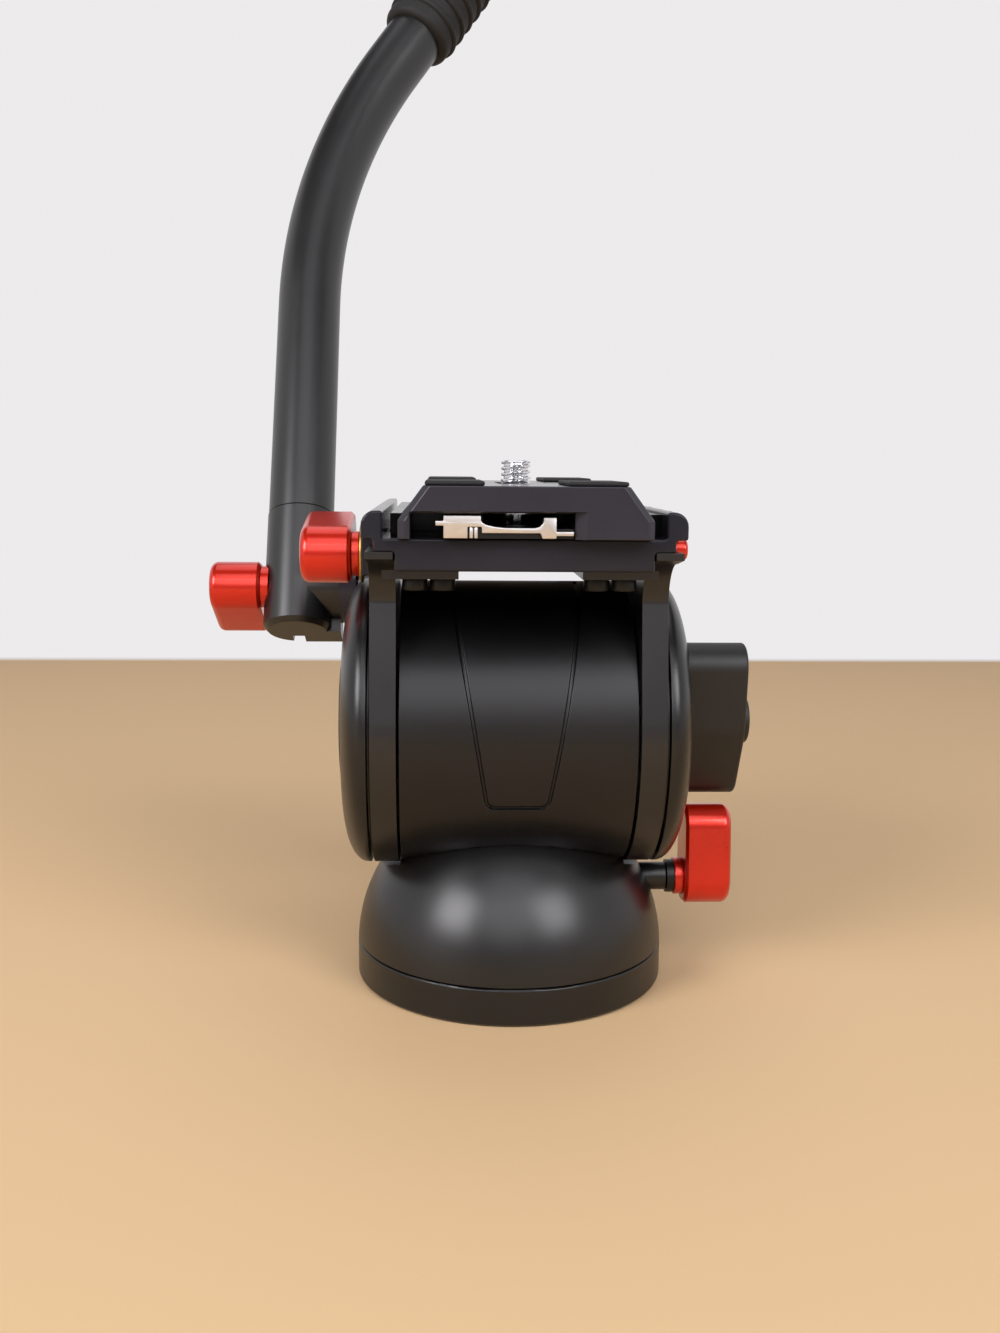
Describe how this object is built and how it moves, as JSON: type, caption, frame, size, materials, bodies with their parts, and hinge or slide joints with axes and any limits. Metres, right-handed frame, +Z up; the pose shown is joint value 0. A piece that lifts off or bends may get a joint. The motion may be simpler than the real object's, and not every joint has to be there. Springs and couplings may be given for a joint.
{
  "type": "fluid_video_head",
  "caption": "Compact fluid video head with a flat round base, pan and tilt locks, a sliding dovetail camera plate and a bent pan handle.",
  "frame": {"origin": "Mouth of the tripod thread, in the middle of the base's underside", "axes": "X to the right across the head and along the tilt axis, Y back from the lens end, Z up along the pan axis"},
  "size_m": [0.1269, 0.2175, 0.3372],
  "materials": {
    "satin_black": "painted satin",
    "gloss_black": "gloss",
    "knob_black": "satin",
    "anodised_grey": "anodised satin",
    "anodised_red": "anodised satin",
    "steel": "satin",
    "chrome": "polished",
    "brass": "satin",
    "rubber_black": "matte",
    "plastic_white": "matte"
  },
  "bodies": {
    "base": {"base_plate": "satin_black", "thread_insert": "steel", "pan_spindle": "steel", "spindle_screws": "steel", "pan_collar": "steel"},
    "pan_body": {"pan_dome": "satin_black", "pan_thrust_washer": "plastic_white", "pan_bush": "brass", "pan_drag_disc": "plastic_white", "pan_brake_shoe": "brass", "pan_lock_boss": "satin_black", "drum_bolts": "steel", "tilt_drum": "satin_black", "left_bearing_plate": "anodised_grey", "right_bearing_plate": "anodised_grey", "left_tilt_bush": "brass", "right_tilt_bush": "brass", "tilt_drag_stator": "steel", "counterbalance_spring": "steel", "tilt_brake_disc": "plastic_white"},
    "tilt_yoke": {"left_arm": "satin_black", "right_arm": "satin_black", "left_shaft": "steel", "right_shaft": "steel", "tilt_drag_rotor": "steel", "left_shaft_bolt": "steel", "left_cap": "gloss_black", "left_cap_disc": "gloss_black", "right_cap": "gloss_black", "platform": "anodised_grey", "platform_screws": "steel", "fixed_jaw": "satin_black", "jaw_screws": "steel", "clamp_washer": "brass", "arm_rosette": "anodised_grey"},
    "jaw": {"clamp_jaw": "satin_black"},
    "clamp_knob": {"clamp_lever": "anodised_red", "clamp_collar": "anodised_red", "clamp_screw": "steel"},
    "release": {"release_button": "anodised_red", "release_bar": "steel", "safety_catch": "steel"},
    "camera_plate": {"plate_body": "anodised_grey", "plate_pads": "rubber_black"},
    "screw_carriage": {"screw_slider": "satin_black"},
    "mounting_screw": {"camera_screw": "chrome"},
    "tilt_knob": {"tilt_lock_bar": "knob_black", "tilt_lock_stud": "steel", "tilt_lock_washer": "satin_black"},
    "pan_knob": {"pan_lock_lever": "anodised_red", "pan_lock_collar": "anodised_red", "pan_lock_screw": "satin_black"},
    "handle": {"handle_socket": "satin_black", "handle_rosette": "anodised_grey", "handle_tube": "satin_black", "handle_grip": "rubber_black", "handle_end_cap": "rubber_black"},
    "handle_knob": {"handle_lever": "anodised_red", "handle_collar": "anodised_red", "handle_bolt": "steel"}
  },
  "joints": [
    {"name": "pan", "type": "hinge", "parent": "base", "child": "pan_body", "pos_m": [0, 0, 0.0143], "axis": [0, 0, 1], "continuous": true},
    {"name": "tilt", "type": "hinge", "parent": "pan_body", "child": "tilt_yoke", "pos_m": [0, 0, 0.059], "axis": [1, 0, 0], "range_deg": [-75, 90]},
    {"name": "tilt_lock_turn", "type": "hinge", "parent": "pan_body", "child": "tilt_knob", "pos_m": [0, 0, 0.059], "axis": [1, 0, 0], "range_deg": [0, 180]},
    {"name": "pan_lock_turn", "type": "hinge", "parent": "pan_body", "child": "pan_knob", "pos_m": [0, 0, 0.02165], "axis": [1, 0, 0], "range_deg": [0, 150]},
    {"name": "clamp_turn", "type": "hinge", "parent": "tilt_yoke", "child": "clamp_knob", "pos_m": [0, -0.012, 0.0973], "axis": [1, 0, 0], "range_deg": [0, 140]},
    {"name": "jaw_slide", "type": "slide", "parent": "tilt_yoke", "child": "jaw", "axis": [-1, 0, 0], "range_m": [0, 0.0008]},
    {"name": "release_press", "type": "slide", "parent": "tilt_yoke", "child": "release", "axis": [-1, 0, 0], "range_m": [0, 0.002], "stiffness_N_per_m": 800, "springref_m": -0.001},
    {"name": "plate_slide", "type": "slide", "parent": "tilt_yoke", "child": "camera_plate", "axis": [0, 1, 0], "range_m": [-0.006, 0.022]},
    {"name": "screw_slide", "type": "slide", "parent": "camera_plate", "child": "screw_carriage", "axis": [0, 1, 0], "range_m": [-0.005, 0.014]},
    {"name": "screw_turn", "type": "hinge", "parent": "screw_carriage", "child": "mounting_screw", "pos_m": [0, -0.009, 0.1146], "axis": [0, 0, 1], "continuous": true},
    {"name": "handle_swing", "type": "hinge", "parent": "tilt_yoke", "child": "handle", "pos_m": [-0.0515, 0.035, 0.0857], "axis": [1, 0, 0], "range_deg": [-100, 40]},
    {"name": "handle_lock_turn", "type": "hinge", "parent": "handle", "child": "handle_knob", "pos_m": [-0.0515, 0.035, 0.0857], "axis": [-1, 0, 0], "range_deg": [0, 150]}
  ],
  "couplings": [
    {"joint": "jaw_slide", "follows": "clamp_turn", "m_per_rad": 0.000327}
  ]
}
